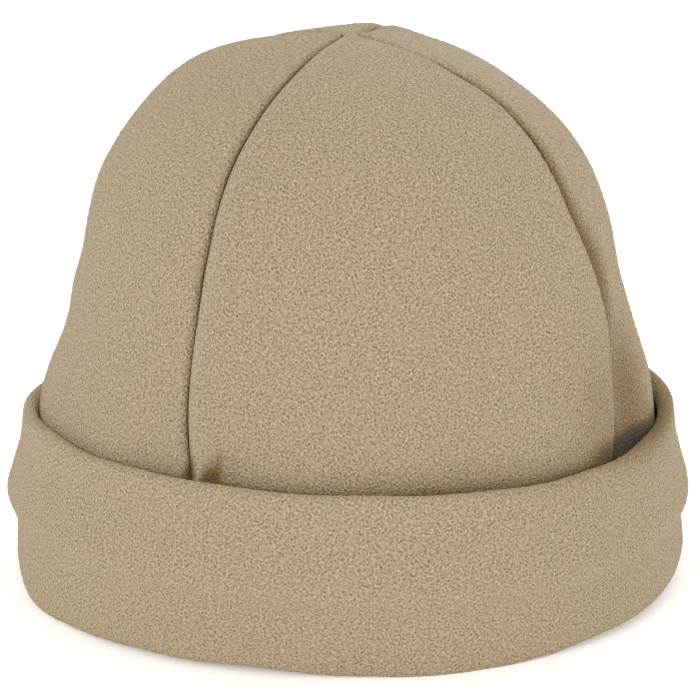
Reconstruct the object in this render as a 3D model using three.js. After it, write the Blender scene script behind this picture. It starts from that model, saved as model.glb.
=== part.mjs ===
// A fleece beanie with a turned-up cuff, standing on its rim.
// Millimetres, +Z up. The front panel faces -Y, and the origin is the middle of the rim where it rests.
// A turn is an angle round the hat in degrees: 0 at the front (-Y), 90 at +X, 180 at the back.
import * as THREE from "three";

// Driving dimensions
const cloth = 2.4; // thickness of the crown's fleece
const bandCloth = 2.3; // thickness of the band's fleece
const bandSlit = 0.4; // space between the band's two layers
const seamGap = 0.3; // space between two pieces that are sewn together
const lipRadius = 3.2; // rounding of a panel's edge as it turns into its seam
const allowance = 5; // cloth left inside the hat along each seam
const ridgeLength = 4.7; // the front and back panels meet along this ridge at the very top
const ridgeReach = 22; // how far down the crown the ridge still parts the seams
const tipRadius = 0.35; // a panel's tip stops this far from the crown's middle
const panelFoot = 36.4; // height of the panels' lower edges, above the band's raw edges
const foldHold = 12; // the crown's dents die out over this height above the panels' feet

// How finely the cloth is cut into facets
const crownRows = 16;
const skinColumns = 9;
const lipSteps = 2;
const bandTurns = 36;
const foldSteps = 4;

// The crown's outer surface in the middle of a panel, from the top down to the panels' feet
const crownSections = [
  { radius: 0, height: 171.8 },
  { radius: 18, height: 169.8 },
  { radius: 35.5, height: 165.6 },
  { radius: 51.2, height: 158.4 },
  { radius: 64.2, height: 146.9 },
  { radius: 74.2, height: 132.6 },
  { radius: 80.5, height: 116.2 },
  { radius: 84, height: 98.7 },
  { radius: 88.4, height: 81.2 },
  { radius: 93.7, height: 64.7 },
  { radius: 97.1, height: 50.2 },
  { radius: 97.2, height: panelFoot },
];

// Where the crown swells (rise above 0) or sinks, as a soft hill on its surface
const crownDents = [
  { name: "back left shoulder", turn: -110, height: 158, wide: 45, tall: 28, rise: 2.5 },
  { name: "right shoulder", turn: 85, height: 156, wide: 40, tall: 30, rise: -2 },
  { name: "back of the top", turn: 150, height: 167, wide: 15, tall: 17, rise: 2.6 },
  { name: "hollow of the right side", turn: 80, height: 102, wide: 30, tall: 20, rise: -1.4 },
  { name: "front panel's right edge", turn: 38, height: 93, wide: 20, tall: 24, rise: 6 },
  { name: "fold in the right panel", turn: 54, height: 62, wide: 11, tall: 26, rise: -4.5 },
  { name: "slack at the right seam's foot", turn: 46, height: 51, wide: 12, tall: 10, rise: -2.2 },
  { name: "ridge beside that fold", turn: 71, height: 86, wide: 8, tall: 24, rise: 1.2 },
  { name: "dip beside the left seam", turn: -52, height: 72, wide: 9, tall: 30, rise: -1.3 },
  { name: "tuck at the left seam's foot", turn: -36, height: 56, wide: 5, tall: 7, rise: -1.4 },
  { name: "right foot, inside the cuff", turn: 75, height: 50, wide: 19, tall: 9, rise: -2.3 },
  { name: "left foot, full against the cuff", turn: -104, height: 62, wide: 34, tall: 13, rise: 1.3 },
  { name: "left shoulder", turn: -100, height: 125, wide: 30, tall: 12, rise: 1.2 },
  { name: "left side", turn: -104, height: 95, wide: 30, tall: 8, rise: 0.9 },
];

// Each seam's turn, at nine even steps from the crown's top to its foot
const seams = {
  frontLeft: [-41.5, -43, -42.6, -44.9, -45.4, -46.6, -46.4, -43, -42],
  frontRight: [44, 45.5, 45, 46.7, 45.1, 48.8, 48.2, 45.4, 42],
  backRight: [150, 146.7, 143.8, 141.2, 139, 137.2, 135.8, 134.7, 134],
  backLeft: [203, 207.6, 211.8, 215.4, 218.5, 221.1, 223.3, 224.9, 226],
};

// Each panel between its two seams; lean says which end of the top ridge its own edges start from
const panels = [
  { name: "crown_front", from: "frontLeft", to: "frontRight", wraps: 0, lean: [-1, 1] },
  { name: "crown_right", from: "frontRight", to: "backRight", wraps: 0, lean: [1, 1] },
  { name: "crown_back", from: "backRight", to: "backLeft", wraps: 0, lean: [1, -1] },
  { name: "crown_left", from: "backLeft", to: "frontLeft", wraps: 360, lean: [-1, -1] },
];

// The middle of the doubled band, from its raw edges inside the hat, down, round the rim and up
// to the fold at the cuff's top. rim, edge and crease say how far a point follows the rim, the top
// edge and the crease below the cuff's bulge.
const bandSections = [
  { radius: 94.9, height: 36, rim: 0, edge: 0, crease: 0 },
  { radius: 94.9, height: 21, rim: 0.2, edge: 0, crease: 0 },
  { radius: 94.9, height: 9, rim: 0.8, edge: 0, crease: 0 },
  { radius: 96, height: 4.4, rim: 1, edge: 0, crease: 0 },
  { radius: 98.1, height: 1.8, rim: 1, edge: 0, crease: 0 },
  { radius: 100.4, height: 1.3, rim: 1, edge: 0, crease: 0 },
  { radius: 101.9, height: 6.2, rim: 0.9, edge: 0.1, crease: 0.1 },
  { radius: 102.2, height: 12, rim: 0.6, edge: 0.2, crease: 0.4 },
  { radius: 102.4, height: 19.5, rim: 0.4, edge: 0.35, crease: 1 },
  { radius: 105.1, height: 26.5, rim: 0.25, edge: 0.4, crease: 1 },
  { radius: 103.9, height: 34, rim: 0.1, edge: 0.6, crease: 0.5 },
  { radius: 101.8, height: 43, rim: 0, edge: 0.8, crease: 0.1 },
  { radius: 100.8, height: 52.6, rim: 0, edge: 1, crease: 0 },
];

// How the cuff departs from a level round ring, every 30 degrees: the rise and reach of its top edge,
// the lift and reach of its rim, and the lift of its crease
const ringSections = [
  { turn: -180, edgeRise: 0.6, edgeOut: 0, rimLift: 0, rimOut: 0, creaseLift: 0 },
  { turn: -150, edgeRise: -0.8, edgeOut: 0, rimLift: 0, rimOut: 0, creaseLift: 0 },
  { turn: -120, edgeRise: -1.2, edgeOut: -0.2, rimLift: 0, rimOut: 0.3, creaseLift: 0.6 },
  { turn: -90, edgeRise: 1, edgeOut: -0.4, rimLift: 0, rimOut: 1.7, creaseLift: 1.2 },
  { turn: -60, edgeRise: 1.7, edgeOut: -0.2, rimLift: 1.8, rimOut: 1.7, creaseLift: 0.8 },
  { turn: -30, edgeRise: 1.3, edgeOut: 0, rimLift: 3.2, rimOut: 0.2, creaseLift: 0 },
  { turn: 0, edgeRise: -0.4, edgeOut: 0, rimLift: -0.3, rimOut: -0.4, creaseLift: 0 },
  { turn: 30, edgeRise: -1.4, edgeOut: -0.3, rimLift: 2, rimOut: 0.8, creaseLift: 0.5 },
  { turn: 60, edgeRise: -1.1, edgeOut: -2.3, rimLift: 3.4, rimOut: 0.7, creaseLift: 1.6 },
  { turn: 90, edgeRise: 0.9, edgeOut: -0.4, rimLift: 1.6, rimOut: 1.8, creaseLift: 2.2 },
  { turn: 120, edgeRise: 2.4, edgeOut: 0.6, rimLift: 0, rimOut: 0, creaseLift: 1.2 },
  { turn: 150, edgeRise: 1.6, edgeOut: 0, rimLift: 0, rimOut: 0, creaseLift: 0.3 },
];

const fleece = new THREE.MeshStandardMaterial({ color: 0xb39f7e, roughness: 0.95, metalness: 0 });

const radians = THREE.MathUtils.degToRad;
const lerp = THREE.MathUtils.lerp;
const smoothstep = THREE.MathUtils.smoothstep;

// A smooth line through a table's rows, by two of its columns
function curveThrough(rows, across, up) {
  return new THREE.SplineCurve(rows.map((row) => new THREE.Vector2(row[across], row[up])));
}

// A column of the ring table at any turn, smooth and without a start or an end
function ringValue(column, turn) {
  const count = ringSections.length;
  const place = ((turn + 180) / 360) * count;
  const first = Math.floor(place);
  const rows = [-1, 0, 1, 2].map((step) => ringSections[(first + step + 2 * count) % count][column]);
  const part = place - first;
  const startSlope = (rows[2] - rows[0]) / 2;
  const endSlope = (rows[3] - rows[1]) / 2;
  const cubic = 2 * rows[1] - 2 * rows[2] + startSlope + endSlope;
  const square = 3 * rows[2] - 3 * rows[1] - 2 * startSlope - endSlope;
  return ((cubic * part + square) * part + startSlope) * part + rows[1];
}

// Outwards, level, at a turn
function outward(turn) {
  return new THREE.Vector3(Math.sin(radians(turn)), -Math.cos(radians(turn)), 0);
}

const crownCurve = curveThrough(crownSections, "radius", "height");
const crownLength = crownCurve.getLength();

// A point of the crown before it is dented, its outward normal and its direction across the panel
function plainCrown(turn, down) {
  const section = crownCurve.getPoint(down);
  const slope = crownCurve.getTangent(down);
  const out = outward(turn);
  const point = out.clone().multiplyScalar(section.x).setZ(section.y);
  const normal = out.clone().multiplyScalar(-slope.y).setZ(slope.x);
  const across = new THREE.Vector3(-out.y, out.x, 0);
  return { point, normal, across };
}

// How far down the crown's curve a height is reached
function downTo(height) {
  let low = 0;
  let high = 1;
  for (let step = 0; step < 30; step += 1) {
    const middle = (low + high) / 2;
    if (crownCurve.getPoint(middle).y > height) low = middle;
    else high = middle;
  }
  return low;
}

const dentFrames = crownDents.map((dent) => {
  const { point, normal, across } = plainCrown(dent.turn, downTo(dent.height));
  return { ...dent, point, normal, across, along: normal.clone().cross(across) };
});
const dentDepth = 40; // a dent fades out over this distance through the hat

// How far the cloth stands out at a point, as the sum of the soft hills
function swelling(point) {
  let sum = 0;
  for (const dent of dentFrames) {
    const from = point.clone().sub(dent.point);
    const side = from.dot(dent.across) / dent.wide;
    const along = from.dot(dent.along) / dent.tall;
    const through = from.dot(dent.normal) / dentDepth;
    sum += dent.rise * Math.exp(-side * side - along * along - through * through);
  }
  return sum * smoothstep(point.z, panelFoot, panelFoot + foldHold);
}

// A seam's turn at any place down the crown, on a smooth line through its turns
function seamTurn(turns, down) {
  return new THREE.SplineCurve(turns.map((turn) => new THREE.Vector2(turn, 0))).getPoint(down).x;
}

// One row of a panel: where its edges are, and its half width there
function panelRow(panel, down) {
  const from = seamTurn(seams[panel.from], down) - panel.wraps;
  const to = seamTurn(seams[panel.to], down);
  const fade = Math.exp(-(((down * crownLength) / ridgeReach) ** 2));
  const shifts = panel.lean.map((lean) => (lean * ridgeLength * fade) / 2);
  const arc = (crownCurve.getPoint(down).x * radians(to - from)) / 2;
  return { from, to, shifts, half: arc + Math.abs(shifts[1] - shifts[0]) / 2, down };
}

// A point of a panel: side runs from -1 to 1 between its seams, and depth is measured into the hat.
// Each panel stands off its seams by half of the sewn gap.
function panelPoint(row, side, depth) {
  const share = (side + 1) / 2;
  const turn = lerp(row.from, row.to, share);
  const { point, normal } = plainCrown(turn, row.down);
  point.addScaledVector(normal, swelling(point) - depth);
  point.x += lerp(row.shifts[0], row.shifts[1], share);
  return point.addScaledVector(outward((row.from + row.to) / 2), seamGap / Math.SQRT2);
}

// The panel's cross-section at a row, from one seam's allowance over the skin to the other's,
// as pairs of an outer and an inner point. Narrow rows near the tip have smaller lips and walls.
function panelLadder(row) {
  const lip = Math.min(lipRadius, 0.7 * row.half);
  const wall = Math.min(cloth, 0.5 * row.half);
  const innerLip = Math.min(lipRadius - cloth, 0.2 * row.half);
  const reach = cloth + 1 + allowance * smoothstep(row.half, 5, 14);
  const edge = [{ outer: [row.half, reach], inner: [row.half - wall, reach] }];
  for (let step = lipSteps; step > 0; step -= 1) {
    const angle = ((Math.PI / 2) * step) / lipSteps;
    const side = 1 - Math.sin(angle);
    const dip = 1 - Math.cos(angle);
    edge.push({
      outer: [row.half - lip * side, lip * dip],
      inner: [row.half - wall - innerLip * side, cloth + innerLip * dip],
    });
  }
  const skin = [];
  for (let column = 0; column < skinColumns; column += 1) {
    const share = 1 - (2 * column) / (skinColumns - 1);
    skin.push({
      outer: [(row.half - lip) * share, 0],
      inner: [(row.half - wall - innerLip) * share, cloth],
    });
  }
  const mirrored = edge.map(({ outer, inner }) => ({
    outer: [-outer[0], outer[1]],
    inner: [-inner[0], inner[1]],
  }));
  return [...edge, ...skin, ...mirrored.reverse()];
}

// A closed solid from rows of paired outer and inner points. A ring has no first and last row.
function shellGeometry(rows, ring) {
  const width = rows[0].length;
  const positions = rows.flatMap((row) => row.flatMap(({ outer, inner }) => [...outer, ...inner]));
  const at = (row, column, side) => 2 * ((row % rows.length) * width + column) + side;
  const index = [];
  const quad = (a, b, c, d) => index.push(a, b, c, a, c, d);
  const lastRow = ring ? rows.length : rows.length - 1;
  for (let row = 0; row < lastRow; row += 1) {
    for (let column = 0; column < width - 1; column += 1) {
      const next = column + 1;
      quad(at(row, column, 0), at(row, next, 0), at(row + 1, next, 0), at(row + 1, column, 0));
      quad(at(row, column, 1), at(row + 1, column, 1), at(row + 1, next, 1), at(row, next, 1));
    }
    const end = width - 1;
    quad(at(row, 0, 0), at(row + 1, 0, 0), at(row + 1, 0, 1), at(row, 0, 1));
    quad(at(row, end, 0), at(row, end, 1), at(row + 1, end, 1), at(row + 1, end, 0));
  }
  for (let column = 0; !ring && column < width - 1; column += 1) {
    const next = column + 1;
    const last = rows.length - 1;
    quad(at(0, column, 0), at(0, column, 1), at(0, next, 1), at(0, next, 0));
    quad(at(last, column, 0), at(last, next, 0), at(last, next, 1), at(last, column, 1));
  }
  const geometry = new THREE.BufferGeometry();
  geometry.setAttribute("position", new THREE.Float32BufferAttribute(positions, 3));
  geometry.setIndex(index);
  geometry.computeVertexNormals();
  return geometry;
}

function crownPanel(panel) {
  const start = tipRadius / crownLength;
  const rows = [];
  for (let step = 0; step < crownRows; step += 1) {
    const row = panelRow(panel, lerp(start, 1, step / (crownRows - 1)));
    const place = ([side, depth]) => panelPoint(row, side / row.half, depth).toArray();
    rows.push(panelLadder(row).map(({ outer, inner }) => ({ outer: place(outer), inner: place(inner) })));
  }
  return shellGeometry(rows, false);
}

// The band's cloth in its section: out along one layer, over the fold at the top and back along the
// other, as points with the direction in which the cloth has its thickness
function bandCourse() {
  const layer = (bandCloth + bandSlit) / 2;
  const middle = curveThrough(bandSections, "radius", "height");
  const stations = bandSections.map((section, place) => {
    const slope = middle.getTangent(place / (bandSections.length - 1));
    return { ...section, side: new THREE.Vector2(-slope.y, slope.x) };
  });
  const shifted = (station, side, reach) => ({
    ...station,
    radius: station.radius + side.x * reach,
    height: station.height + side.y * reach,
    side: side.clone(),
  });
  const fold = stations.pop();
  const outside = stations.map((station) => shifted(station, station.side.clone().negate(), layer));
  const inside = stations.map((station) => shifted(station, station.side, layer)).reverse();
  const turned = [];
  for (let step = 0; step <= foldSteps; step += 1) {
    const angle = (Math.PI * step) / foldSteps;
    turned.push(shifted(fold, new THREE.Vector2(Math.cos(angle), Math.sin(angle)), layer));
  }
  return [...outside, ...turned, ...inside];
}

// A point of the band at a turn. The cloth is pressed flat where the rim rests.
function bandPoint(turn, station, reach) {
  const radius = station.radius + station.side.x * reach;
  const height = station.height + station.side.y * reach;
  const out = ringValue("edgeOut", turn) * station.edge + ringValue("rimOut", turn) * station.rim;
  const rise = ringValue("edgeRise", turn) * station.edge + ringValue("rimLift", turn) * station.rim;
  const lift = ringValue("creaseLift", turn) * station.crease;
  return outward(turn).multiplyScalar(radius + out).setZ(Math.max(height + rise + lift, 0));
}

function cuffBand() {
  const course = bandCourse();
  const half = bandCloth / 2;
  const rows = [];
  for (let step = 0; step < bandTurns; step += 1) {
    const turn = 180 - (360 * step) / bandTurns;
    rows.push(
      course.map((station) => ({
        outer: bandPoint(turn, station, half).toArray(),
        inner: bandPoint(turn, station, -half).toArray(),
      })),
    );
  }
  return shellGeometry(rows, true);
}

const beanie = new THREE.Group();
for (const panel of panels) {
  const mesh = new THREE.Mesh(crownPanel(panel), fleece);
  mesh.name = panel.name;
  beanie.add(mesh);
}
const cuff = new THREE.Mesh(cuffBand(), fleece);
cuff.name = "cuff";
beanie.add(cuff);

export default beanie;
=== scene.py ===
import math

import bpy
import numpy as np
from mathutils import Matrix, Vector


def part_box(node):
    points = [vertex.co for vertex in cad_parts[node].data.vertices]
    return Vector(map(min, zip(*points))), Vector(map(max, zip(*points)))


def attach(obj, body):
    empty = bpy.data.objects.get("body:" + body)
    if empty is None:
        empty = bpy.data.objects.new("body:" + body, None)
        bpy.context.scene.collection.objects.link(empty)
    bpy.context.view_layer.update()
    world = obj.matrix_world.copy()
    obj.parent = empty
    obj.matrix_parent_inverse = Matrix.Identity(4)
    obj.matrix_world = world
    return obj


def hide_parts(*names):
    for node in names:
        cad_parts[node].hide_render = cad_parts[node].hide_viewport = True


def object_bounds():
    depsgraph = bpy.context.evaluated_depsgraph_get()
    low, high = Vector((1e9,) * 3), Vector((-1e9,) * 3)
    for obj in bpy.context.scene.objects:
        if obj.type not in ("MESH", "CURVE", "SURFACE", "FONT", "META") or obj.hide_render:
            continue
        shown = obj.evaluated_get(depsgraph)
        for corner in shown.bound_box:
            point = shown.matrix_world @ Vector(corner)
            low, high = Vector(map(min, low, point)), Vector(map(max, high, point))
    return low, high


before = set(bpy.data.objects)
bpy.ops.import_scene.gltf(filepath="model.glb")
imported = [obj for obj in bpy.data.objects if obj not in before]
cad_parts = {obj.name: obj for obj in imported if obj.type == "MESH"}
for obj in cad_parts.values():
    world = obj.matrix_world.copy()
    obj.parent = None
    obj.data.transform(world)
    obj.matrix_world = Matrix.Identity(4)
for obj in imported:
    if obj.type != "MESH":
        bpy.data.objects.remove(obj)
cadLow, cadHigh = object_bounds()
mm = 0.001
rng = np.random.default_rng(11)


# Camera first: the photograph's angle, a long lens and no shift.
cameraSetup = {
    "turn": -13.5,  # left of the front panel's middle
    "elevation": 15.0,
    "distance": 1100.0,
    "orbitHeight": 85.0,
    "aimHeight": 71.0,
    "lens": 180.6,
    "clip": (0.05, 50.0),
}


# Turns a camera or a lamp, where it stands, so that it looks at a point.
def lookAt(thing, point):
    towards = Vector(point) - thing.location
    thing.rotation_euler = towards.to_track_quat("-Z", "Y").to_euler()


# The camera stands on a ball round the hat: level distance = distance * cosine of the elevation.
def makeCamera(setup):
    turn, lift = math.radians(setup["turn"]), math.radians(setup["elevation"])
    level = setup["distance"] * math.cos(lift) * mm
    camera = bpy.data.objects.new("camera", bpy.data.cameras.new("camera"))
    camera.data.lens = setup["lens"]
    camera.data.clip_start, camera.data.clip_end = setup["clip"]
    bpy.context.scene.collection.objects.link(camera)
    camera.location = (
        level * math.sin(turn),
        -level * math.cos(turn),
        (setup["orbitHeight"] + setup["distance"] * math.sin(lift)) * mm,
    )
    lookAt(camera, (0.0, 0.0, setup["aimHeight"] * mm))
    bpy.context.scene.camera = camera


makeCamera(cameraSetup)
print("camera placed")


# Curves and noise that several pieces share


# 0 up to low and 1 from high on; between them, share squared * (3 - 2 * share).
def smoothStep(value, low, high):
    share = np.clip((value - low) / (high - low), 0.0, 1.0)
    return share * share * (3.0 - 2.0 * share)


# Between two rows of a table runs the cubic whose slopes are half the step between its neighbours.
def cubicBetween(before, start, end, after, part):
    startSlope, endSlope = (end - before) / 2, (after - start) / 2
    cubic = 2 * start - 2 * end + startSlope + endSlope
    square = 3 * end - 3 * start - 2 * startSlope - endSlope
    return ((cubic * part + square) * part + startSlope) * part + start


# A table's rows at shares of its length: the cubic between the rows before and after each share.
def alongTable(rows, share):
    rows = np.asarray(rows, float)
    last = len(rows) - 1
    place = np.clip(np.asarray(share, float), 0.0, 1.0) * last
    first = np.minimum(place.astype(int), last - 1)
    part = (place - first)[..., None]
    ends = [rows[np.clip(first + step, 0, last)] for step in (-1, 0, 1, 2)]
    return cubicBetween(*ends, part)


# The same for a table that goes once round the hat: its first row is at the back, and its rows come
# again after the last one.
def roundTable(rows, turn):
    rows = np.asarray(rows, float)
    place = (np.asarray(turn, float) + 180.0) / 360.0 * len(rows)
    first = np.floor(place).astype(int)
    ends = [rows[(first + step) % len(rows)] for step in (-1, 0, 1, 2)]
    return cubicBetween(*ends, (place - first)[..., None])


# A random field with one grain: cosines of one wavelength, in random directions and phases, added up
# and divided by the root of half their number, so that it strays from 0 by about 1.
def grainField(points, wavelength, waves):
    directions = rng.normal(size=(waves, 3))
    directions *= (2 * np.pi / wavelength) / np.linalg.norm(directions, axis=1)[:, None]
    phases = rng.uniform(0, 2 * np.pi, waves)
    total = np.zeros(points.shape[:-1])
    for direction, phase in zip(directions, phases):
        total += np.cos(points @ direction + phase)
    return total / math.sqrt(waves / 2)


# Normals of a grid of points: the cross product of its steps across and down, made one long.
def gridNormals(points, wrap):
    if wrap:
        wide = np.concatenate([points[:, -1:], points, points[:, :1]], axis=1)
        across = (wide[:, 2:] - wide[:, :-2]) / 2
    else:
        across = np.gradient(points, axis=1)
    normals = np.cross(across, np.gradient(points, axis=0))
    return normals / np.maximum(np.linalg.norm(normals, axis=-1), 1e-9)[..., None]


# A mesh from its points, with "shade" its painted shade (below zero, painted light) at each point and
# "spots" where each point lies on the flat cloth. Cloth that runs round in a ring starts again after
# the length "around".
def makeMesh(name, points, quads, triangles, shade, spots, around, material):
    mesh = bpy.data.meshes.new(name)
    corners = np.concatenate([quads.ravel(), triangles.ravel()]).astype(np.int32)
    starts = np.concatenate([
        np.arange(len(quads)) * 4,
        len(quads) * 4 + np.arange(len(triangles)) * 3,
    ]).astype(np.int32)
    mesh.vertices.add(len(points))
    mesh.vertices.foreach_set("co", (points * mm).astype(np.float32).ravel())
    mesh.loops.add(len(corners))
    mesh.loops.foreach_set("vertex_index", corners)
    mesh.polygons.add(len(starts))
    mesh.polygons.foreach_set("loop_start", starts)
    mesh.update(calc_edges=True)
    mesh.attributes.new("shade", "FLOAT", "POINT").data.foreach_set("value", shade.astype(np.float32))
    faceSpots = [spots[faces] for faces in (quads, triangles)]
    for part in faceSpots:
        part[..., 0] += around * (part[..., 0] < part[..., 0].max(axis=1)[:, None] - around / 2)
    flat = np.concatenate([part.reshape(-1, 2) for part in faceSpots])
    mesh.uv_layers.new(name="cloth").data.foreach_set("uv", (flat * mm).astype(np.float32).ravel())
    mesh.validate()
    mesh.shade_smooth()
    mesh.materials.append(material)
    piece = bpy.data.objects.new(name, mesh)
    bpy.context.scene.collection.objects.link(piece)
    return piece


coarseStep = 4  # the hidden side of a cloth has one point for every four of the side that shows


# The quads of a grid of points, row by row: a point's number is first + row * columns + column.
def gridQuads(rows, columns, first, wrap):
    down, across = np.meshgrid(
        np.arange(rows - 1), np.arange(columns if wrap else columns - 1), indexing="ij"
    )
    beside = (across + 1) % columns
    at = lambda row, column: first + row * columns + column
    corners = [at(down, across), at(down, beside), at(down + 1, beside), at(down + 1, across)]
    return np.stack([corner.ravel() for corner in corners], axis=1)


# Triangles from a fine edge to the coarse edge under it, one coarse point for every few fine ones.
def edgeTriangles(fine, coarse):
    under = coarse[(np.arange(len(fine)) + coarseStep // 2) // coarseStep]
    fans = np.stack([fine[:-1], under[:-1], fine[1:]], axis=1)
    middles = fine[coarseStep // 2::coarseStep][: len(coarse) - 1]
    steps = np.stack([middles, coarse[:-1], coarse[1:]], axis=1)
    return np.concatenate([fans, steps])


# One cloth: a fine grid for the side that shows, a coarse one for its back, and the edges closed.
def clothMesh(name, face, back, shade, spots, around, material):
    wrap = around > 0
    rows, columns = face.shape[:2]
    backRows, backColumns = back.shape[:2]
    faceIndex = np.arange(rows * columns).reshape(rows, columns)
    backIndex = rows * columns + np.arange(backRows * backColumns).reshape(backRows, backColumns)
    quads = np.concatenate([
        gridQuads(rows, columns, 0, wrap),
        gridQuads(backRows, backColumns, rows * columns, wrap)[:, ::-1],
    ])
    closed = (lambda line: np.append(line, line[0])) if wrap else (lambda line: line)
    edges = [
        edgeTriangles(closed(faceIndex[0]), closed(backIndex[0])),
        edgeTriangles(closed(faceIndex[-1]), closed(backIndex[-1]))[:, ::-1],
    ]
    if not wrap:
        edges.append(edgeTriangles(faceIndex[:, 0], backIndex[:, 0])[:, ::-1])
        edges.append(edgeTriangles(faceIndex[:, -1], backIndex[:, -1]))
    points = np.concatenate([face.reshape(-1, 3), back.reshape(-1, 3)])
    shade = np.concatenate([shade.ravel(), np.zeros(backRows * backColumns)])
    spots = np.concatenate([part.reshape(-1, 2) for part in spots])
    return makeMesh(name, points, quads, np.concatenate(edges), shade, spots, around, material)


# Pile: how far the fleece's curls stand out of its surface, and how far soft cloth sways
pile = {
    "curlLength": 2.0, "curlHeight": 0.07, "curlWaves": 44,
    "swayLength": 34.0, "swayHeight": 0.22, "swayWaves": 22,
}


# Curls: their height * a random field of short waves.
def pileHeight(points):
    return pile["curlHeight"] * grainField(points, pile["curlLength"], pile["curlWaves"])


# Sway: its height * a random field of long waves.
def sway(points):
    return pile["swayHeight"] * grainField(points, pile["swayLength"], pile["swayWaves"])


# Shader maths: a signal is a socket that adds, multiplies and so on as numbers do.
class Signal:
    def __init__(self, sheet, socket):
        self.sheet, self.socket = sheet, socket

    def maths(self, operation, first, second):
        return self.sheet.node("ShaderNodeMath", {"operation": operation}, {0: first, 1: second})

    def __add__(self, other):
        return self.maths("ADD", self, other)

    __radd__ = __add__

    def __sub__(self, other):
        return self.maths("SUBTRACT", self, other)

    def __rsub__(self, other):
        return self.maths("SUBTRACT", other, self)

    def __mul__(self, other):
        return self.maths("MULTIPLY", self, other)

    __rmul__ = __mul__


# A material being written: node() adds any node, sets it up, then fills or links its sockets.
class Sheet:
    def __init__(self, name):
        self.material = bpy.data.materials.new(name)
        self.material.use_nodes = True
        self.tree = self.material.node_tree
        self.shader = self.tree.nodes["Principled BSDF"]

    def fill(self, node, sockets):  # a signal is linked, a plain value is set
        for key, value in sockets.items():
            if isinstance(value, Signal):
                self.tree.links.new(value.socket, node.inputs[key])
            else:
                node.inputs[key].default_value = value

    def node(self, kind, settings, sockets, output=0):
        made = self.tree.nodes.new(kind)
        for key, value in settings.items():
            if key == "stops":
                while len(made.color_ramp.elements) < len(value):
                    made.color_ramp.elements.new(0.5)
                for element, (place, colour) in zip(made.color_ramp.elements, value):
                    element.position, element.color = place, (*colour, 1.0)
            else:
                setattr(made, key, value)
        self.fill(made, sockets)
        return Signal(self, made.outputs[output])

    def mixColour(self, share, first, second):  # from the first colour to the second
        colours = {0: self.clamped(share), 6: first, 7: (*second, 1.0)}
        return self.node("ShaderNodeMix", {"data_type": "RGBA"}, colours, 2)

    def clamped(self, value):  # held between 0 and 1
        return self.node("ShaderNodeClamp", {}, {"Value": value})


fleeceLook = {
    # crease, body and tip: the curls' colours from hollow to top, partly the pile's own tone and partly
    # painted shade in the hollows and painted light on the tops
    "crease": (0.208, 0.146, 0.072),
    "body": (0.368, 0.282, 0.169),
    "tip": (0.572, 0.471, 0.330),
    "curlScale": 1440.0,  # curls to the metre
    "curlTurns": (12.0, 57.0),  # the noise's grid, laid twice across itself
    "curlShift": 0.01,  # how far the grid is moved for each degree of its turn
    "curlContrast": 0.75,
    "bumpHeight": 0.0006,
    "roughness": 0.93,
    "specular": 0.18,
    "sheen": 0.15,
    "sheenRoughness": 0.55,
    "sheenTint": (0.92, 0.85, 0.72),
    "darkBetween": 1.4,  # a shade's strength between the curls
    "darkFall": 0.8,  # how much weaker it is on top of a curl
    "foldGain": 1.5,  # how fast a shade reaches the fold's colour
    "gapGain": 3.0,  # the same for the gap's colour, which starts at a shade of gapStart / gapGain
    "gapStart": 2.4,
    "paintedSheen": (0.420, 0.370, 0.295),  # the colour of painted sheen and painted highlights: pale grey pile shown catching the light
    "fold": (0.182, 0.110, 0.036),  # the colour of painted shade, as in a fold
    "gap": (0.085, 0.075, 0.054),  # the colour of painted deep shadow in a seam or behind the cuff's edge
}


# Fleece: two sheets of smooth noise, added up, make small curls, pale on top and brown between, partly
# the pile's tone and partly painted light and shade of the curls. The painted "shade" of the cloth above
# zero turns it to the fold's shade colour and then to the gap's, and below zero to the painted sheen.
def fleeceMaterial(name, look):
    sheet = Sheet(name)
    where = sheet.node("ShaderNodeUVMap", {"uv_map": "cloth"}, {})
    noise = 0.0
    for turn in look["curlTurns"]:
        turned = sheet.node("ShaderNodeMapping", {}, {
            "Vector": where,
            "Rotation": (0.0, 0.0, math.radians(turn)),
            "Location": (turn * look["curlShift"], 0.0, 0.0),
        })
        noise = noise - 0.5 + sheet.node("ShaderNodeTexNoise", {"noise_dimensions": "2D"}, {
            "Vector": turned, "Scale": look["curlScale"], "Detail": 0.0})
    curl = sheet.clamped(noise * look["curlContrast"] + 0.5)
    tone = sheet.node("ShaderNodeValToRGB", {"stops": [
        (0.0, look["crease"]), (0.5, look["body"]), (1.0, look["tip"])]}, {"Fac": curl})
    shade = sheet.node("ShaderNodeAttribute", {"attribute_name": "shade"}, {}, "Fac")
    dark = shade * (look["darkBetween"] - curl * look["darkFall"])
    tone = sheet.mixColour(dark * look["foldGain"], tone, look["fold"])
    tone = sheet.mixColour(dark * look["gapGain"] - look["gapStart"], tone, look["gap"])
    tone = sheet.mixColour(0.0 - shade, tone, look["paintedSheen"])
    bump = sheet.node(
        "ShaderNodeBump", {}, {"Height": curl, "Strength": 1.0, "Distance": look["bumpHeight"]})
    sheet.fill(sheet.shader, {
        "Base Color": tone, "Normal": bump,
        "Roughness": look["roughness"], "Specular IOR Level": look["specular"],
        "Sheen Weight": look["sheen"], "Sheen Roughness": look["sheenRoughness"],
        "Sheen Tint": (*look["sheenTint"], 1.0),
    })
    return sheet.material


threadLook = {"colour": (0.330, 0.250, 0.150), "roughness": 0.6, "sheen": 0.1}


# Thread: one colour, a little darker than the fleece.
def threadMaterial(name, look):
    sheet = Sheet(name)
    sheet.fill(sheet.shader, {
        "Base Color": (*look["colour"], 1.0),
        "Roughness": look["roughness"],
        "Sheen Weight": look["sheen"],
    })
    return sheet.material


fleece = fleeceMaterial("fleece", fleeceLook)
threadFinish = threadMaterial("thread", threadLook)
print("materials made")


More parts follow.
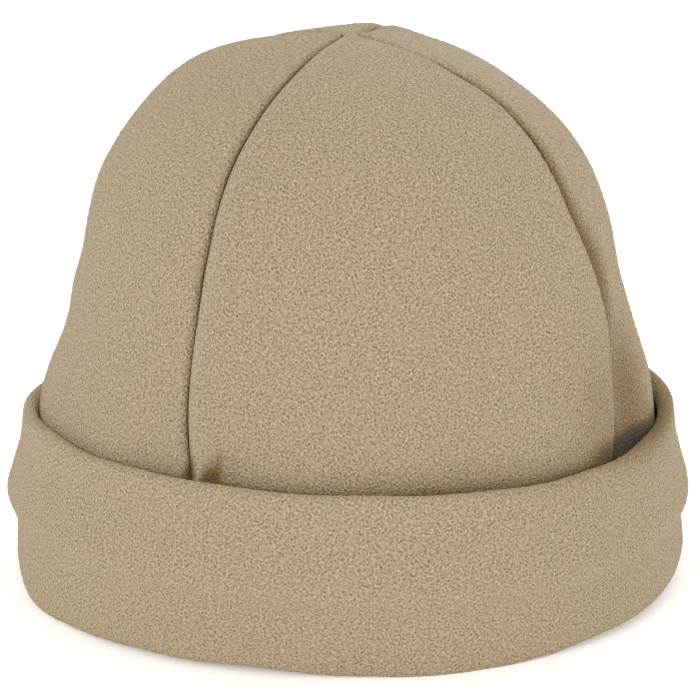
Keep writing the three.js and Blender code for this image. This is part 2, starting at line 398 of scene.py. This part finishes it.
# The crown's outer surface in the middle of a panel: radius, height
crownSections = [
    (0.0, 171.8), (18.0, 169.8), (35.5, 165.6), (51.2, 158.4), (64.2, 146.9), (74.2, 132.6),
    (80.5, 116.2), (84.0, 98.7), (88.4, 81.2), (93.7, 64.7), (97.1, 50.2), (97.2, 36.4),
]

# Soft hills and hollows of the crown: turn, height, width, tallness, rise
crownDents = {
    "backLeftShoulder": (-110, 158, 45, 28, 2.5),
    "rightShoulder": (85, 156, 40, 30, -2.0),
    "backOfTop": (150, 167, 15, 17, 2.6),
    "rightSideHollow": (80, 102, 30, 20, -1.4),
    "frontRightEdge": (38, 93, 20, 24, 6.0),
    "rightFold": (54, 62, 11, 26, -4.5),
    "rightSeamFoot": (46, 51, 12, 10, -2.2),
    "besideRightFold": (71, 86, 8, 24, 1.2),
    "besideLeftSeam": (-52, 72, 9, 30, -1.3),
    "leftSeamFoot": (-36, 56, 5, 7, -1.4),
    "rightFoot": (75, 50, 19, 9, -1.3),
    "leftFoot": (-104, 62, 34, 13, 1.3),
    "leftShoulder": (-100, 125, 30, 12, 1.2),
    "leftSide": (-104, 95, 30, 8, 0.9),
    "leftContact": (-75, 55, 40, 8, 0.9),
    "frontContact": (-22, 54, 14, 7, 0.8),
}

# Painted shade where the cloth lies in the shade of a fold, or below zero a painted sheen of pale pile:
# turn, height, width, tallness, darkness
foldShadows = {
    "rightFold": (57, 70, 14, 18, 0.5),
    "rightGap": (40, 53.5, 7, 4, 1.2),
    "frontRightFoot": (40, 69, 14, 22, 0.2),
    "topPaintedSheen": (84, 163, 26, 36, -0.45),
    "leftSeamNotch": (-43.0, 55.5, 1.7, 5.0, 1.7),
    "besideNotch": (-38.8, 55.5, 2.4, 3.6, 1.3),
    "notchFold": (-37.6, 60.0, 1.6, 4.0, 0.45),
}

# Each seam's turn, at nine even steps from the crown's top to its foot
seams = {
    "frontLeft": (-41.5, -43.0, -42.6, -44.9, -45.4, -46.6, -46.4, -43.0, -42.0),
    "frontRight": (44.0, 45.5, 45.0, 46.7, 45.1, 48.8, 48.2, 45.4, 42.0),
    "backRight": (150.0, 146.7, 143.8, 141.2, 139.0, 137.2, 135.8, 134.7, 134.0),
    "backLeft": (203.0, 207.6, 211.8, 215.4, 218.5, 221.1, 223.3, 224.9, 226.0),
}

# The crown's cloth and seams. A pair named "Widths" gives the half widths of a panel between which
# something grows from nothing, near its tip, to its full size.
crown = {
    "cloth": 2.4, "allowance": 5.0, "turnIn": 1.0,
    "patternShare": 0.66,  # a panel's area, of the rectangle that it is cut from
    "ridgeLength": 4.7, "ridgeReach": 22.0,  # the short ridge on the top, and how far down it fades
    "tipRadius": 0.35, "standOff": 0.05,  # a panel starts off the middle and keeps off the next one
    "foldHold": 12.0,  # how far over its foot the crown is held straight by the band
    "dentReach": 40.0,  # how deep a hill or hollow works through the hat
    "fallDown": (0.4, 0.62),  # the way down over which a fall goes from its top value to its foot value
    "fallWidths": (2.0, 14.0), "swayWidths": (4.0, 20.0), "allowanceWidths": (5.0, 14.0),
    "pileWidths": (0.5, 5.0), "pileFromSeam": (0.0, 2.5),
    "wallOfHalf": 0.5, "lipOfHalf": 0.7,  # near the tip, the cloth and its lip as shares of the half width
    "innerLip": 0.9, "innerLipOfHalf": 0.2,
    "rows": 296, "skinColumns": 236, "lipColumns": 12, "edgeColumns": 8,
}

# How a panel's cloth meets a seam: the rounding of its lip, how far it sinks towards the seam at the
# top and at the foot and how wide that fall is, how dark the groove's painted shade is, how bright the
# lip's painted highlight, and at nine even steps down the seam how dark the painted shade beside it is
# and how wide that shade
plainEdge = {
    "lip": 3.2, "fall": (0.3, 0.6), "fallWide": 4.0, "groove": 0.8, "paintedLight": 0.0,
    "dark": [(0.1, 3.0)] * 9,
}
frontLeftEdge = {
    "lip": 2.6, "fall": (0.2, 0.3), "fallWide": 3.0, "groove": 0.7, "paintedLight": 0.25,
    "dark": [(0.0, 1.0)] * 9,
}
frontRightEdge = {
    "lip": 3.4, "fall": (0.3, 0.4), "fallWide": 4.0, "groove": 1.0, "paintedLight": 0.0,
    "dark": [
        (0.0, 2.0), (0.1, 2.0), (0.2, 2.2), (0.3, 2.6), (0.5, 2.8), (0.5, 2.8), (0.4, 2.8),
        (0.5, 3.2), (0.4, 3.0),
    ],
}
rightPanelEdge = {
    "lip": 3.0, "fall": (0.2, 3.0), "fallWide": 7.0, "groove": 1.0, "paintedLight": 0.0,
    "dark": [
        (0.1, 2.0), (0.1, 2.0), (0.4, 2.4), (0.4, 2.6), (0.8, 5.2), (0.95, 9.0), (0.55, 9.0),
        (0.85, 8.0), (0.95, 8.0),
    ],
}
leftPanelEdge = {
    "lip": 2.4, "fall": (0.1, 0.5), "fallWide": 3.0, "groove": 0.7, "paintedLight": 0.0,
    "dark": [(0.15, 1.5)] * 9,
}

# Each panel's two seams, the degrees that its first seam is turned back, where its middle lies on the
# flat cloth, which way its sides part along the top ridge, and how its cloth meets the seams
panels = {
    "crown_front": {
        "seams": ("frontLeft", "frontRight"), "back": 0, "cutAt": 0, "lean": (-1, 1),
        "edges": (frontLeftEdge, frontRightEdge),
    },
    "crown_right": {
        "seams": ("frontRight", "backRight"), "back": 0, "cutAt": 200, "lean": (1, 1),
        "edges": (rightPanelEdge, plainEdge),
    },
    "crown_back": {
        "seams": ("backRight", "backLeft"), "back": 0, "cutAt": 400, "lean": (1, -1),
        "edges": (plainEdge, plainEdge),
    },
    "crown_left": {
        "seams": ("backLeft", "frontLeft"), "back": 360, "cutAt": 600, "lean": (-1, -1),
        "edges": (plainEdge, leftPanelEdge),
    },
}

# The painted shade deep in a seam: the depths between which it darkens, its share at the crown's top
# and the way down over which it grows; and the place and the width of a lip's painted highlight line
seamShade = {
    "depth": (0.6, 1.8), "topShare": 0.6, "topDown": (0.05, 0.3), "paleAt": 3.0, "paleWide": 1.4,
}

# The crown in the painted shade of the cuff's edge: how far up the soft painted shade fades, the heights
# over the edge between which the painted dark line ends, and how much of a row's lift each of the two
# gets. Every 30 degrees from the back round by the left: the soft shade's darkness, the line's lift and
# the line's darkness.
cuffShadow = {
    "fade": 3.0, "line": (-1.5, -0.3), "lift": (0.4, 1.2),
    "round": [
        (0.2, 0.0, 0.6), (0.2, 0.0, 0.6), (0.1, 0.0, 0.4), (0.0, 0.0, 0.3),
        (0.0, 0.0, 0.3), (0.18, 0.0, 0.6), (0.46, 0.0, 0.8), (0.46, 0.0, 0.8),
        (0.7, 2.8, 1.7), (0.4, 0.6, 0.8), (0.2, 0.0, 0.6), (0.2, 0.0, 0.6),
    ],
}

# The plain crown from its top to its foot: fine points on its line, their slopes and its length
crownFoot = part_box("crown_front")[0].z / mm
fineDown = np.linspace(0.0, 1.0, 2001)
crownLine = alongTable(crownSections, fineDown)
crownSlope = np.gradient(crownLine, axis=0)
crownSlope /= np.linalg.norm(crownSlope, axis=1)[:, None]
crownLength = float(np.linalg.norm(np.diff(crownLine, axis=0), axis=1).sum())


# The plain crown at a turn (radians) and a way down: its point, at radius * (sine, -cosine) of the
# turn, its normal and its direction across.
def plainCrown(turn, down):
    radius, height = (np.interp(down, fineDown, crownLine[:, k]) for k in (0, 1))
    slopeOut, slopeUp = (np.interp(down, fineDown, crownSlope[:, k]) for k in (0, 1))
    sine, cosine = np.sin(turn), np.cos(turn)
    point = np.stack([radius * sine, -radius * cosine, height + 0 * sine], axis=-1)
    normal = np.stack([-slopeUp * sine, slopeUp * cosine, slopeOut + 0 * sine], axis=-1)
    across = np.stack([cosine, sine, 0 * sine], axis=-1)
    return point, normal, across


# The sum of a table's soft hills at points: each is its rise * e to the power of minus the squares of
# the distances across, along and through, over its width, its tallness and the reach.
def hills(points, table):
    total = np.zeros(points.shape[:-1])
    for turn, height, wide, tall, rise in table.values():
        down = np.interp(-height, -crownLine[:, 1], fineDown)
        point, normal, across = plainCrown(np.array(math.radians(turn)), np.array(down))
        along = np.cross(normal, across)
        away = points - point
        side, length, depth = away @ across / wide, away @ along / tall, away @ normal
        total += rise * np.exp(-side**2 - length**2 - (depth / crown["dentReach"])**2)
    return total


# The crown's hills, which fade out towards its foot, where the band holds the cloth.
def swelling(points):
    held = smoothStep(points[..., 2], crownFoot, crownFoot + crown["foldHold"])
    return hills(points, crownDents) * held


# A seam's turn in radians at a way down: the curve through its table.
def seamTurn(name, down):
    return np.radians(alongTable(np.array(seams[name])[:, None], down)[..., 0])


# A panel's rows: the turns of its two edges, their shifts along the top ridge, which fade with the
# square of the way down, and its half width = radius * the turn between them / 2, and the shift.
def panelRows(panel, down):
    start = seamTurn(panel["seams"][0], down) - math.radians(panel["back"])
    end = seamTurn(panel["seams"][1], down)
    fade = np.exp(-((down * crownLength / crown["ridgeReach"]) ** 2))
    shifts = [lean * crown["ridgeLength"] / 2 * fade for lean in panel["lean"]]
    radius = np.interp(down, fineDown, crownLine[:, 0])
    half = radius * (end - start) / 2 + np.abs(shifts[1] - shifts[0]) / 2
    return start, end, shifts, half


# Points of a panel at offsets across it and depths into it: the plain crown's point + its normal * the
# hills, the sway and the falls to both seams, less the depth; then moved along the top ridge, and off
# the next panel by the stand-off.
def panelPoints(panel, down, side, depth):
    start, end, shifts, half = (
        [part[:, None] for part in value] if isinstance(value, list) else value[:, None]
        for value in panelRows(panel, down))
    share = (side / half + 1) / 2
    turn = start + (end - start) * share
    point, normal, _ = plainCrown(turn, np.broadcast_to(down[:, None], turn.shape))
    lift = swelling(point) + sway(point) * smoothStep(half, *crown["swayWidths"]) - depth
    low = smoothStep(down[:, None], *crown["fallDown"])
    for sign, edge in zip((-1, 1), panel["edges"]):
        fall = edge["fall"][0] + (edge["fall"][1] - edge["fall"][0]) * low
        away = (half - sign * side) / edge["fallWide"]
        lift -= fall * np.exp(-(away ** 2)) * smoothStep(half, *crown["fallWidths"])
    point = point + normal * lift[..., None]
    point[..., 0] += shifts[0] + (shifts[1] - shifts[0]) * share
    middle = (start + end) / 2
    point[..., 0] += crown["standOff"] * np.sqrt(2) * np.sin(middle)
    point[..., 1] -= crown["standOff"] * np.sqrt(2) * np.cos(middle)
    return point


# How deep the turned-in edges reach: the cloth + its turn + the allowance, which grows from the tip.
def allowanceDepth(half):
    grown = smoothStep(half, *crown["allowanceWidths"])
    return crown["cloth"] + crown["turnIn"] + crown["allowance"] * grown


# The section of a panel's cloth: up one seam allowance, round the lip by a quarter circle, over the
# skin, and the same back down. With layer 0 it is the outer side and with layer 1 the inner one.
def panelSection(panel, down, layer, step):
    half = panelRows(panel, down)[3]
    reach = allowanceDepth(half)
    wall = np.minimum(crown["cloth"], crown["wallOfHalf"] * half) * layer
    sides, depths = [], []
    for sign, edge in zip((-1, 1), panel["edges"]):
        lip = np.minimum(edge["lip"], crown["lipOfHalf"] * half)
        if layer:
            lip = np.minimum(crown["innerLip"], crown["innerLipOfHalf"] * half)
        top = crown["cloth"] * layer
        wallShare = np.linspace(0, 1, crown["edgeColumns"] // step + 1)[:-1]
        curve = np.linspace(np.pi / 2, 0, crown["lipColumns"] // step + 1)
        wallSide = (half - wall)[:, None] + 0 * wallShare
        lipSide = (half - wall - lip)[:, None] + lip[:, None] * np.sin(curve)
        wallDepth = reach[:, None] + (top + lip - reach)[:, None] * wallShare
        lipDepth = top + lip[:, None] * (1 - np.cos(curve))
        sides.append(sign * np.concatenate([wallSide, lipSide], axis=1))
        depths.append(np.concatenate([wallDepth, lipDepth], axis=1))
    share = np.linspace(0, 1, crown["skinColumns"] // step + 1)[1:-1]
    skin = sides[0][:, -1:] + (sides[1][:, -1:] - sides[0][:, -1:]) * share
    side = np.concatenate([sides[0], skin, sides[1][:, ::-1]], axis=1)
    depth = np.concatenate([depths[0], crown["cloth"] * layer + 0 * skin, depths[1][:, ::-1]], axis=1)
    return side, depth, half


# Where each point of a panel's section lies on its flat cloth: the summed steps across it, from the
# panel's middle, and the way down the crown.
def panelSpots(panel, side, depth, down):
    steps = np.hypot(np.diff(side, axis=1), np.diff(depth, axis=1))
    across = np.concatenate([np.zeros((len(side), 1)), np.cumsum(steps, axis=1)], axis=1)
    across += panel["cutAt"] - across[:, -1:] / 2
    return np.stack([across, down[:, None] * crownLength + 0 * across], axis=-1)


# Painted shade on a panel: the largest of the painted shades in the seam, beside it and in the folds,
# and over it that of the cuff's edge, as 1 - the product of what each leaves. Below zero it is painted
# sheen and the lips' painted highlights.
def panelShade(panel, face, side, depth, half, down):
    high = smoothStep(down[:, None], *seamShade["topDown"])
    grooveShare = seamShade["topShare"] + (1 - seamShade["topShare"]) * high
    shade, paintedLight = np.zeros(side.shape), np.zeros(side.shape)
    for sign, edge in zip((-1, 1), panel["edges"]):
        away = np.maximum(half[:, None] - sign * side, 0)
        near = sign * side > 0
        groove = edge["groove"] * grooveShare
        shade = np.maximum(shade, near * smoothStep(depth, *seamShade["depth"]) * groove)
        strength, wide = np.moveaxis(alongTable(edge["dark"], down)[:, None], -1, 0)
        shade = np.maximum(shade, strength * np.exp(-((away / wide) ** 2)))
        fromLine = (away - seamShade["paleAt"]) / seamShade["paleWide"]
        paintedLight = np.maximum(paintedLight, edge["paintedLight"] * np.exp(-(fromLine ** 2)))
    folds = hills(face, foldShadows)
    shade = np.maximum(shade, np.clip(folds, 0, 1))
    paintedLight = np.maximum(paintedLight, -folds)
    turn = np.degrees(np.arctan2(face[..., 0], -face[..., 1]))
    edgeHeight = bandSections[-1][1] + cuff["cloth"] + roundTable(ringSections, turn)[..., 0]
    above = face[..., 2] - edgeHeight
    soft, lineLift, lineDark = np.moveaxis(roundTable(cuffShadow["round"], turn), -1, 0)
    soft = soft * np.exp(-np.maximum(above, 0) / cuffShadow["fade"])
    low, high = (end + lineLift * share for end, share in zip(cuffShadow["line"], cuffShadow["lift"]))
    deep = lineDark * (1 - smoothStep(above, low, high))
    return 1 - (1 - shade) * (1 - soft) * (1 - deep) - paintedLight * (1 - soft)


# A panel: its section at rows from the crown's top to its foot, put on the crown, with its outer side
# raised along the normals by the curls, which fade out in the seams, and a coarser inner side.
def makePanel(name, panel):
    rowShare = np.linspace(0, 1, crown["rows"] + 1)
    down = crown["tipRadius"] / crownLength + rowShare * (1 - crown["tipRadius"] / crownLength)
    side, depth, half = panelSection(panel, down, 0, 1)
    face = panelPoints(panel, down, side, depth)
    fromSeam = half[:, None] - np.abs(side)
    onSkin = smoothStep(fromSeam, *crown["pileFromSeam"])
    onSkin = onSkin * smoothStep(half[:, None], *crown["pileWidths"])
    normals = gridNormals(face, False)
    if np.mean(np.sum(normals * face, axis=-1)) < 0:
        normals = -normals
    face = face + normals * (pileHeight(face) * onSkin)[..., None]
    shade = panelShade(panel, face, side, depth, half, down)
    spots = panelSpots(panel, side, depth, down)
    coarseDown = down[::coarseStep]
    side, depth, _ = panelSection(panel, coarseDown, 1, coarseStep)
    back = panelPoints(panel, coarseDown, side, depth)
    backSpots = panelSpots(panel, side, depth, coarseDown)
    turned = [part[:, ::-1] for part in (face, back, shade, spots, backSpots)]  # so it faces outwards
    piece = clothMesh(name + "_fleece", *turned[:3], turned[3:], 0, fleece)
    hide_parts(name)
    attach(piece, "root")


# The middle of the doubled band, from its raw edges inside the hat round the rim to the top fold:
# radius, height, and how far a point follows the rim, the top edge and the crease below the bulge
bandSections = [
    (94.9, 36.0, 0.0, 0.0, 0.0), (94.9, 21.0, 0.2, 0.0, 0.0), (94.9, 9.0, 0.8, 0.0, 0.0),
    (96.0, 4.4, 1.0, 0.0, 0.0), (98.1, 1.8, 1.0, 0.0, 0.0), (100.4, 1.3, 1.0, 0.0, 0.0),
    (101.9, 6.2, 0.9, 0.1, 0.1), (102.2, 12.0, 0.6, 0.2, 0.4), (102.4, 19.5, 0.4, 0.35, 1.0),
    (105.1, 26.5, 0.25, 0.4, 1.0), (103.9, 34.0, 0.1, 0.6, 0.5), (101.8, 43.0, 0.0, 0.8, 0.1),
    (100.8, 52.6, 0.0, 1.0, 0.0),
]

# Every 30 degrees from the back round by the left: the top edge's rise and reach, the rim's lift and
# reach, and the crease's lift
ringSections = [
    (0.6, 0.0, 0.0, 0.0, 0.0), (-0.8, 0.0, 0.0, 0.0, 0.0), (-1.2, -0.2, 0.0, 0.3, 0.6),
    (1.0, -0.4, 0.0, 1.7, 1.2), (1.7, -0.2, 1.8, 1.7, 0.8), (1.3, 0.0, 3.2, 0.2, 0.0),
    (-0.4, 0.0, -0.3, -0.4, 0.0), (-1.4, -0.3, 2.0, 0.8, 0.5), (-1.1, -2.3, 3.4, 0.7, 1.6),
    (0.9, -0.4, 1.6, 1.8, 2.2), (2.4, 0.6, 0.0, 0.0, 1.2), (1.6, 0.0, 0.0, 0.0, 0.3),
]

# The cuff's cloth, its rows, its pile and its painted shade; "edgeDark" is every 30 degrees, as above
cuff = {
    "cloth": 2.3, "slit": 0.4, "around": 616.0, "width": 196.0, "columns": 640,
    "insideShare": 5 / 12,  # the part of the band's section that lies inside the hat
    "insideRows": 24, "outsideRows": 88, "foldRows": 12, "hiddenRows": 16,
    "curls": 0.9,  # the pile's height as a share of the crown's
    "pressed": 0.6,  # the cloth's thickness under the rim as a share of its own
    # painted shade on the side that faces the crown, and painted shade on the top edge
    "hiddenFade": (0.6, 3.0), "hiddenDark": 0.15, "edgeFade": 3.5,
    "edgeDark": [(0,), (0,), (0,), (0,), (0,), (0,), (0,), (0.2,), (0.7,), (0.3,), (0,), (0,)],
}


# Shares of the band's section from its raw edges to its fold: few inside the hat, many where it shows.
def bandCourse():
    inside = np.linspace(0.0, cuff["insideShare"], cuff["insideRows"] + 1)[:-1]
    outside = np.linspace(cuff["insideShare"], 1.0, cuff["outsideRows"] + 1)
    return np.concatenate([inside, outside])


# The band's middle line at shares of it, and the direction out of the cloth there: the line's slope,
# turned by a right angle.
def bandLine(share):
    values = alongTable(bandSections, share)
    ahead, behind = (alongTable(bandSections, np.clip(share + step, 0, 1)) for step in (1e-4, -1e-4))
    slope = (ahead - behind)[:, :2]
    slope /= np.linalg.norm(slope, axis=1)[:, None]
    return values, np.stack([slope[:, 1], -slope[:, 0]], axis=1)


# One side of the doubled cloth, from the raw edges up, over the top fold by a half circle and back
# down. It keeps from the band's middle line by half the slit, and the outer side by the cloth too.
def bandSides(outer):
    reach = cuff["cloth"] + cuff["slit"] / 2 if outer else cuff["slit"] / 2
    shares = bandCourse()
    values, side = bandLine(shares)
    out = np.concatenate([values[:, :2] + side * reach, values[:, 2:]], axis=1)
    angles = np.linspace(0, np.pi, cuff["foldRows"] + 1)[1:-1]
    fold = values[-1]
    turned = np.stack([
        fold[0] + reach * np.cos(angles),
        fold[1] + reach * np.sin(angles),
        *(0 * angles + part for part in fold[2:]),
    ], axis=1)
    backShares = np.linspace(1.0, 0.0, cuff["hiddenRows"] + 1)
    values, side = bandLine(backShares)
    hidden = np.concatenate([values[:, :2] - side * reach, values[:, 2:]], axis=1)
    return np.concatenate([out, turned, hidden])


# The section carried round the hat: each point moves with the top edge, the rim and the crease by the
# ring table's values * its own shares, and then stands at radius * (sine, -cosine) of the turn.
def placeBand(section, columns):
    turn = np.arange(columns) / columns * 360.0 - 180.0
    ring = roundTable(ringSections, turn)
    rise, out, lift, push, up = (ring[None, :, k] for k in range(5))
    radius, height, rim, edge, crease = (section[:, k, None] for k in range(5))
    radius = radius + out * edge + push * rim
    height = height + rise * edge + lift * rim + up * crease
    angle = np.radians(turn)[None, :]
    return np.stack([radius * np.sin(angle), -radius * np.cos(angle), height + 0 * angle], axis=-1)


# Where each point of a section lies on the flat band: the way round it, and the summed steps up it.
def bandSpots(section, columns):
    steps = np.hypot(*np.diff(section[:, :2], axis=0).T)
    along = np.concatenate([[0], np.cumsum(steps)])
    around = np.arange(columns) / columns * cuff["around"]
    return np.stack(np.broadcast_arrays(around[None, :], along[:, None]), axis=-1)


# Painted shade on the cuff: on the side that faces the crown it grows below the top fold, and on the
# edge itself it is the table's value * e to the power of -depth / fade.
def cuffShade(face):
    hidden = np.arange(len(face)) >= len(face) - cuff["hiddenRows"] - 1 - cuff["foldRows"] // 3
    below = face[..., 2].max(axis=0) - face[..., 2]
    turn = np.degrees(np.arctan2(face[..., 0], -face[..., 1]))
    edgeShade = roundTable(cuff["edgeDark"], turn)[..., 0] * np.exp(-below / cuff["edgeFade"])
    behind = hidden[:, None] * smoothStep(below, *cuff["hiddenFade"]) * cuff["hiddenDark"]
    return np.maximum(behind, edgeShade)


# The cuff: both sides of its cloth carried round the hat, the outer one moved along its normals by the
# curls and the sway, and neither of them through the floor.
def makeCuff():
    section = bandSides(True)
    face = placeBand(section, cuff["columns"])
    face = face + gridNormals(face, True) * (pileHeight(face) * cuff["curls"] + sway(face))[..., None]
    face[..., 2] = np.maximum(face[..., 2], cadLow.z / mm)
    backSection = bandSides(False)[::coarseStep]
    back = placeBand(backSection, cuff["columns"] // coarseStep)
    back[..., 2] = np.maximum(back[..., 2], cadLow.z / mm + cuff["cloth"] * cuff["pressed"])
    spots = bandSpots(section, len(face[0])), bandSpots(backSection, len(back[0]))
    piece = clothMesh("cuff_fleece", face, back, cuffShade(face), spots, cuff["around"], fleece)
    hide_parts("cuff")
    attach(piece, "root")


# Overlocking inside the hat: one thread looped along each pair of seam allowances, and one
# stitched to and fro over the join of the panels and the band
threads = {
    "radius": 0.28, "sides": 6, "stepsPerLoop": 16,
    "seamPitch": 3.4, "seamHalfWidth": 2.95, "seamHalfDepth": 2.4, "seamSink": 0.5,
    "seamTop": 0.16, "seamFoot": 0.97, "seamBlend": (-1.5, 1.5),
    "bandStitches": 168, "bandEnd": 179.5, "bandLow": 31.5, "bandHigh": 41.0, "bandSunk": 0.6,
    "clear": (3.5, 6.0),  # the degrees beside a seam's end over which the stitches get their height back
    "clearDrop": 0.8,  # how far under the crown's foot they stay there
    "step": 0.6,  # half the height over which a stitch goes from the band to the panel
}


# A round thread along a path: rings of the thread's radius, square to the path, closed at both ends.
# Each ring starts towards "side", a direction given at every point.
def threadTube(path, side):
    along = np.gradient(path, axis=0)
    along /= np.linalg.norm(along, axis=1)[:, None]
    first = side - along * np.sum(side * along, axis=1)[:, None]
    first /= np.linalg.norm(first, axis=1)[:, None]
    second = np.cross(along, first)
    angle = np.arange(threads["sides"]) / threads["sides"] * 2 * np.pi
    ring = first[:, None] * np.cos(angle)[:, None] + second[:, None] * np.sin(angle)[:, None]
    return path[:, None] + ring * threads["radius"]


# A thread's mesh: the quads between its rings, and a fan of triangles over each end.
def addThread(name, path, side):
    tube = threadTube(path, side)
    rows, columns = tube.shape[:2]
    quads = gridQuads(rows, columns, 0, True)[:, ::-1]
    points = np.concatenate([tube.reshape(-1, 3), path[:1], path[-1:]])
    start, end = rows * columns, rows * columns + 1
    ring = np.arange(columns)
    beside = (ring + 1) % columns
    last = (rows - 1) * columns
    caps = np.concatenate([
        np.stack([ring, beside, np.full(columns, start)], axis=1)[:, ::-1],
        np.stack([last + ring, last + beside, np.full(columns, end)], axis=1),
    ])
    piece = makeMesh(name, points, quads, caps, np.zeros(len(points)), points[:, :2], 0, threadFinish)
    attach(piece, "root")


# Loops round a seam's two allowances, advancing down the seam: across and in depth, the half size * the
# signed root of the turn's cosine and sine, which is a rounded box.
def seamThread(name, before, after):
    loops = (threads["seamFoot"] - threads["seamTop"]) * crownLength / threads["seamPitch"]
    steps = int(loops * threads["stepsPerLoop"])
    turns = np.linspace(0, loops, steps) * 2 * np.pi
    down = np.linspace(threads["seamTop"], threads["seamFoot"], steps)
    half = panelRows(before, down)[3]
    reach = allowanceDepth(half)
    wave = [np.sign(part) * np.sqrt(np.abs(part)) for part in (np.cos(turns), np.sin(turns))]
    side = wave[0] * threads["seamHalfWidth"]
    depth = reach - threads["seamHalfDepth"] + threads["seamSink"] + wave[1] * threads["seamHalfDepth"]
    paths, centres = [], []
    for panel, edge in ((before, 1), (after, -1)):
        wide = panelRows(panel, down)[3]
        paths.append(panelPoints(panel, down, (edge * wide + side)[:, None], depth[:, None])[:, 0])
        middle = (reach - threads["seamHalfDepth"])[:, None]
        centres.append(panelPoints(panel, down, (edge * wide)[:, None], middle)[:, 0])
    share = smoothStep(side, *threads["seamBlend"])[:, None]
    path = paths[0] + (paths[1] - paths[0]) * share
    addThread(name, path, path - (centres[0] + centres[1]) / 2)


# Stitches to and fro across the join inside: height = middle + half the span * cosine of the turns,
# and the radius steps from the band's to the panels' where the height passes the crown's foot.
def bandThread(name):
    steps = threads["bandStitches"] * threads["stepsPerLoop"]
    turn = np.linspace(-threads["bandEnd"], threads["bandEnd"], steps)
    wave = np.cos(turn / 360 * threads["bandStitches"] * 2 * np.pi)
    seamEnds = [(seamTurn(seam, 1.0) + np.pi) % (2 * np.pi) - np.pi for seam in seams]
    away = np.min([np.abs(turn - math.degrees(end)) for end in seamEnds], axis=0)
    low, drop = threads["bandLow"], crownFoot - threads["clearDrop"]
    high = drop + (threads["bandHigh"] - drop) * smoothStep(away, *threads["clear"])
    height = (high + low) / 2 + (high - low) / 2 * wave
    bandRadius = bandSections[0][0] - cuff["cloth"] - cuff["slit"] / 2
    crownRadius = crownSections[-1][0] - crown["cloth"]
    onCrown = smoothStep(height, crownFoot - threads["step"], crownFoot + threads["step"])
    radius = bandRadius + (crownRadius - bandRadius) * onCrown - threads["radius"] * threads["bandSunk"]
    angle = np.radians(turn)
    out = np.stack([np.sin(angle), -np.cos(angle), 0 * angle], axis=1)
    path = out * radius[:, None] + np.stack([0 * angle, 0 * angle, height], axis=1)
    addThread(name, path, out)


# One thread for each seam, between the panel before it and the panel after it, and one for the band.
def makeThreads():
    order = list(panels.values())
    for place, seam in enumerate(["frontRight", "backRight", "backLeft", "frontLeft"]):
        seamThread("overlock_" + seam, order[place], order[(place + 1) % len(order)])
    bandThread("overlock_band")


for panelName, panel in panels.items():
    makePanel(panelName, panel)
print("crown panels made")
makeCuff()
print("cuff made")
makeThreads()
print("inside seams overlocked")


# Stage, in metres: a wide pale floor, and soft light from the front left, the right and above
stageSetup = {
    "floorSize": 9.0, "floorColour": (0.93, 0.93, 0.925), "floorRoughness": 0.9,
    "floorSpecular": 0.1, "floorGlow": 0.28, "glowColour": (1.0, 1.0, 1.0),
    "worldColour": (1.0, 1.0, 1.0), "worldStrength": 0.835,
}

# Area lights, in metres and watts: place, the point they face, size, power
lamps = {
    "keyLamp": ((-1.3, -1.5, 1.1), (0.0, 0.0, 0.08), 1.2, 15.0),
    "fillLamp": ((1.7, -1.3, 0.5), (0.0, 0.0, 0.08), 1.4, 7.0),
    "topLamp": ((0.2, 0.5, 1.9), (0.0, 0.0, 0.1), 1.2, 5.0),
    "rimLamp": ((1.5, 1.0, 1.3), (0.0, 0.0, 0.1), 0.7, 5.0),
}


# The floor is one square round the origin, and each lamp is a disc that looks at its point.
def makeStage():
    half = stageSetup["floorSize"] / 2
    mesh = bpy.data.meshes.new("floor")
    corners = [(-half, -half, 0), (half, -half, 0), (half, half, 0), (-half, half, 0)]
    mesh.from_pydata(corners, [], [(0, 1, 2, 3)])
    sheet = Sheet("floor")
    sheet.fill(sheet.shader, {
        "Base Color": (*stageSetup["floorColour"], 1.0),
        "Roughness": stageSetup["floorRoughness"],
        "Specular IOR Level": stageSetup["floorSpecular"],
        "Emission Color": (*stageSetup["glowColour"], 1.0),
        "Emission Strength": stageSetup["floorGlow"],
    })
    mesh.materials.append(sheet.material)
    floor = bpy.data.objects.new("floor", mesh)
    bpy.context.scene.collection.objects.link(floor)
    world = bpy.data.worlds.new("studio")
    world.use_nodes = True
    background = world.node_tree.nodes["Background"]
    background.inputs["Color"].default_value = (*stageSetup["worldColour"], 1.0)
    background.inputs["Strength"].default_value = stageSetup["worldStrength"]
    bpy.context.scene.world = world
    for name, (place, point, size, watts) in lamps.items():
        light = bpy.data.lights.new(name, "AREA")
        light.shape, light.size, light.energy = "DISK", size, watts
        lamp = bpy.data.objects.new(name, light)
        lamp.location = place
        bpy.context.scene.collection.objects.link(lamp)
        lookAt(lamp, point)


makeStage()
bpy.context.scene.view_settings.view_transform = "Standard"
print("stage made")
